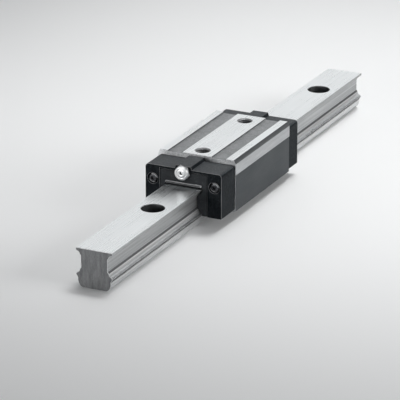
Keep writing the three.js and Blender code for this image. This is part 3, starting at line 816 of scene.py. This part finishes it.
def build_ball_circuit(node, ball, side):
    """One loop of balls: a loaded row, a return row, and a half-round turn at each end."""
    x0, x1 = side * ball.x, side * RETURN_X
    bend = abs(x1 - x0) / 2
    straight = BLOCK_HIGH.y - BLOCK_LOW.y
    total = 2 * straight + 2 * math.pi * bend
    count = int(total / BALL_PITCH)
    bm = bmesh.new()
    for i in range(count):
        s = total * i / count
        if s < straight:
            x, y = x0, BLOCK_LOW.y + s
        elif s < straight + math.pi * bend:
            a = (s - straight) / bend
            x = (x0 + x1) / 2 - (x1 - x0) / 2 * math.cos(a)
            y = BLOCK_HIGH.y + bend * math.sin(a)
        elif s < 2 * straight + math.pi * bend:
            x, y = x1, BLOCK_HIGH.y - (s - straight - math.pi * bend)
        else:
            a = (s - 2 * straight - math.pi * bend) / bend
            x = (x0 + x1) / 2 + (x1 - x0) / 2 * math.cos(a)
            y = BLOCK_LOW.y - bend * math.sin(a)
        sphere(bm, Vector((x, y, ball.y)), BALL_RADIUS, 14, 8)
    piece = mesh_object(f"{node}_balls", bm)
    piece.data.materials.append(CHROME)
    smooth(piece)
    place(piece, "carriage", "ball_steel", node)


def dress_cad_node(node, material, width):
    """Keeps an inner CAD node's shape and gives it a surface and broken edges."""
    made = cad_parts[node]
    made.data.materials.clear()
    made.data.materials.append(material)
    bevel = made.modifiers.new("edges", "BEVEL")
    bevel.width = width
    bevel.segments = 2
    bevel.limit_method = "ANGLE"
    bevel.angle_limit = math.radians(50)


# ---- Assembly ------------------------------------------------------------------------------------

build_rail()
build_block()
build_cap("front_end_cap", -1)
build_cap("rear_end_cap", 1)
build_seal("front_end_seal", -1)
build_seal("rear_end_seal", 1)
build_nipple()
build_check_ball()
build_spring()
build_plug()
INNER_EDGE = 0.05 * MM
for hand, side in (("left", -1), ("right", 1)):
    build_screw(f"front_cap_screw_{hand}", -1)
    build_screw(f"rear_cap_screw_{hand}", 1)
    build_ball_circuit(f"ball_circuit_upper_{hand}", UPPER_BALL, side)
    build_ball_circuit(f"ball_circuit_lower_{hand}", LOWER_BALL, side)
    dress_cad_node(f"raceway_insert_{hand}", HARD, INNER_EDGE)
    dress_cad_node(f"ball_retainer_{hand}", GUIDE, INNER_EDGE)
    dress_cad_node(f"bottom_seal_{hand}", SEAL, INNER_EDGE)
    for end in ("front", "rear"):
        dress_cad_node(f"{end}_ball_guide_{hand}", GUIDE, INNER_EDGE)
    for level in ("upper", "lower"):
        dress_cad_node(f"return_tube_{level}_{hand}", GUIDE, INNER_EDGE)


# ---- Camera, floor and light ---------------------------------------------------------------------

AZIMUTH, ELEVATION = math.radians(25.68), math.radians(20.59)
LENS, SENSOR = 300.3, 36.0  # millimetres
DISTANCE = 1.8885  # metres
AIM = Vector((-2.7, -32.3, 4.7)) * MM  # on the rail, a little ahead of the carriage's middle


def make_camera():
    back = Vector((math.sin(AZIMUTH) * math.cos(ELEVATION),
                   -math.cos(AZIMUTH) * math.cos(ELEVATION), math.sin(ELEVATION)))
    data = bpy.data.cameras.new("camera")
    data.lens, data.sensor_width = LENS, SENSOR
    camera = bpy.data.objects.new("camera", data)
    bpy.context.scene.collection.objects.link(camera)
    camera.location = AIM + back * DISTANCE
    camera.rotation_mode = "QUATERNION"
    camera.rotation_quaternion = (-back).to_track_quat("-Z", "Y")
    bpy.context.scene.camera = camera


FLOOR_HALF, FLOOR_THICKNESS = 6, 0.02  # metres


def make_floor():
    floor = block("floor", (-FLOOR_HALF, -FLOOR_HALF, RAIL_LOW.z - FLOOR_THICKNESS),
                  (FLOOR_HALF, FLOOR_HALF, RAIL_LOW.z))
    n = Nodes("pale_floor")
    tone = n.noise((0.6, 0.6, 0.6), 2.0)
    n.link(n.mix(tone, (0.80, 0.81, 0.81), (0.82, 0.825, 0.83)), n.shader.inputs["Base Color"])
    n.set(Roughness=0.9)
    floor.data.materials.append(n.material)


def area_light(name, location, target, size, power, spread):
    data = bpy.data.lights.new(name, "AREA")
    data.shape = "RECTANGLE"
    data.size, data.size_y = size
    data.energy = power
    data.spread = math.radians(spread)
    light = bpy.data.objects.new(name, data)
    bpy.context.scene.collection.objects.link(light)
    light.location = location
    light.rotation_mode = "QUATERNION"
    light.rotation_quaternion = (Vector(target) - Vector(location)).to_track_quat("-Z", "Y")


BRIGHT_SIDE = (-0.405, 0.843, 0.352)  # towards the bright area behind; its opposite is bright too
SURROUND = (0.60, 0.97, 0.18, 0.86)  # dot product with that direction, from and to; strength, from and to


def make_world():
    """A dim even surround with broad soft bright areas low behind and in front of the object."""
    world = bpy.data.worlds.new("studio")
    bpy.context.scene.world = world
    world.use_nodes = True
    nodes, links = world.node_tree.nodes, world.node_tree.links
    background = nodes["Background"]
    background.inputs["Color"].default_value = (0.98, 0.99, 1.0, 1.0)
    towards = nodes.new("ShaderNodeVectorMath")
    towards.operation = "DOT_PRODUCT"
    links.new(nodes.new("ShaderNodeTexCoord").outputs["Generated"], towards.inputs[0])
    towards.inputs[1].default_value = BRIGHT_SIDE
    either = nodes.new("ShaderNodeMath")
    either.operation = "ABSOLUTE"
    links.new(towards.outputs["Value"], either.inputs[0])
    level = nodes.new("ShaderNodeMapRange")
    level.interpolation_type = "SMOOTHSTEP"
    for socket, number in zip(("From Min", "From Max", "To Min", "To Max"), SURROUND):
        level.inputs[socket].default_value = number
    links.new(either.outputs["Value"], level.inputs["Value"])
    links.new(level.outputs["Result"], background.inputs["Strength"])


# Each light: its place and the point that it faces in metres, size, power in watts, spread in degrees.
LIGHTS = {
    "key": ((0.06, 0.49, 0.9), (0.02, 0.14, 0), (0.62, 0.62), 0.87, 35),  # soft, above and behind
    "side": ((0.9, 0.09, 0.38), (0.05, 0.04, 0), (0.8, 0.4), 0.9, 70),  # on the carriage's flank
    "fill": ((-0.7, -1.71, 0.2), (0, -0.06, 0.02), (0.8, 0.3), 8, 180),  # broad and low, in front
}

make_camera()
make_floor()
make_world()
for name, light in LIGHTS.items():
    area_light(name, *light)
bpy.context.scene.view_settings.view_transform = "Standard"
